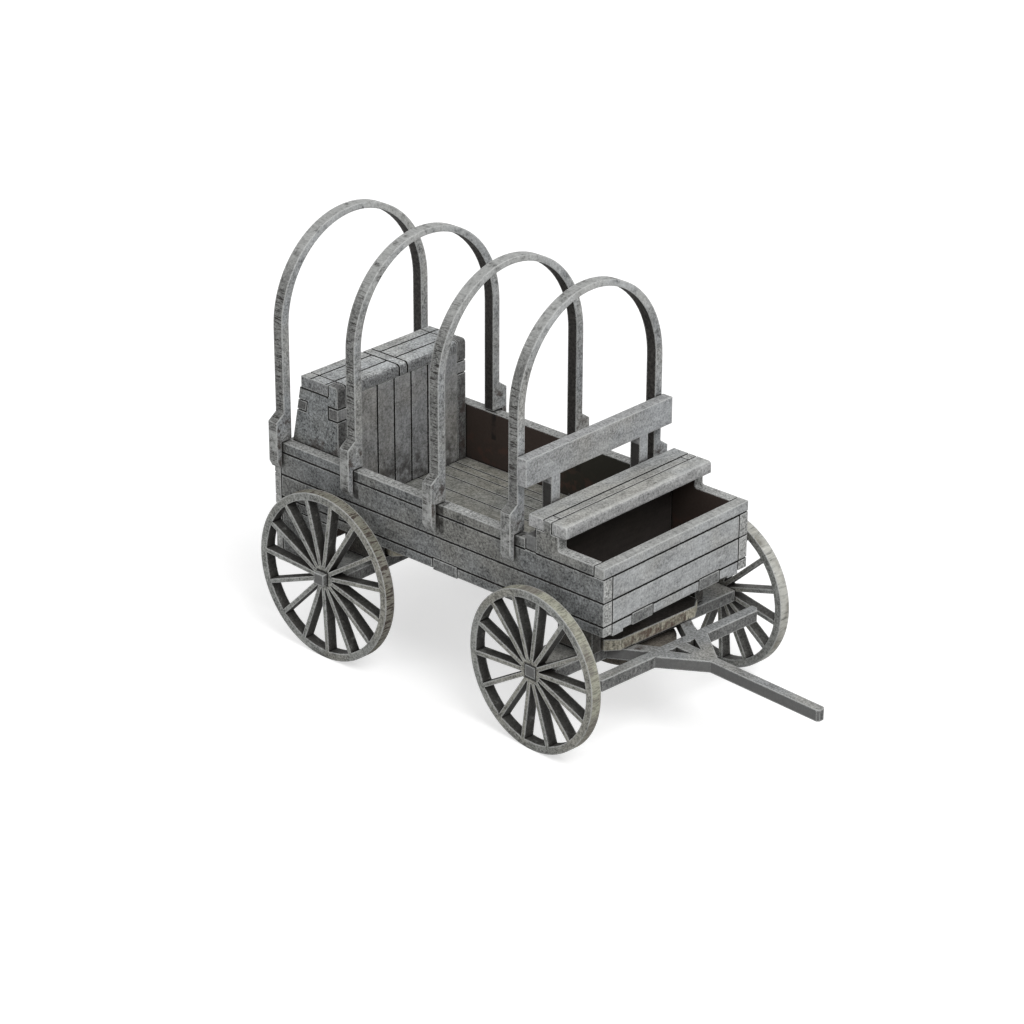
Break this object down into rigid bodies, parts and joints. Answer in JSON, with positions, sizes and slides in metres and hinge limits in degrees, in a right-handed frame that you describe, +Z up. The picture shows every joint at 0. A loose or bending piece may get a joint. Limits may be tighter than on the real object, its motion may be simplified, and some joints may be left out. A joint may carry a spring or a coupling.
{
  "type": "tabletop model of a chuck wagon",
  "caption": "Laser-cut board model of a chuck wagon: open bed, hoops, sloped chuck box, seat, spoked wheels and a front gear with pole that turns on its king pin.",
  "frame": {"origin": "on the floor, below the middle of the overall box", "axes": "+X forward towards the pole, +Y the wagon's left side, +Z up"},
  "size_m": [0.1068, 0.048, 0.0718],
  "materials": {
    "paint_grey": "matt weathered grey paint on fibreboard",
    "paint_light": "matt lighter grey paint on fibreboard",
    "paint_dark": "matt dark wash on fibreboard",
    "paint_khaki": "matt khaki dry-brushed paint on fibreboard",
    "bare_board": "bare scorched fibreboard"
  },
  "bodies": {
    "chassis": {"side_right": "paint_grey", "side_left": "paint_grey", "tail_board": "paint_grey", "box_cheek_right": "paint_grey", "box_cheek_left": "paint_grey", "box_back": "paint_grey", "seat_back": "paint_grey", "rear_axle": "paint_grey", "wheel_rear_right": "paint_grey", "wheel_rear_left": "paint_grey", "front_board": "paint_light", "hoop_1": "paint_light", "hoop_2": "paint_light", "hoop_3": "paint_light", "hoop_4": "paint_light", "seat_bench_rear": "paint_light", "seat_bench_front": "paint_light", "box_front": "paint_light", "box_lid": "paint_light", "bed_floor": "paint_dark", "seat_bulkhead": "paint_dark", "rear_hanger_right": "paint_dark", "rear_hanger_left": "paint_dark", "front_hanger_right": "paint_dark", "front_hanger_left": "paint_dark", "rear_bolster": "paint_khaki", "king_pin": "bare_board", "king_disc": "bare_board"},
    "front_gear": {"front_axle_and_pole": "paint_grey", "front_bolster": "paint_khaki", "wheel_front_right": "paint_grey", "wheel_front_left": "paint_grey"}
  },
  "joints": [
    {"name": "front_gear_turn", "type": "hinge", "parent": "chassis", "child": "front_gear", "pos_m": [0.01183, 0, 0.014], "axis": [0, 0, 1], "range_deg": [-6.4, 13.6]}
  ]
}
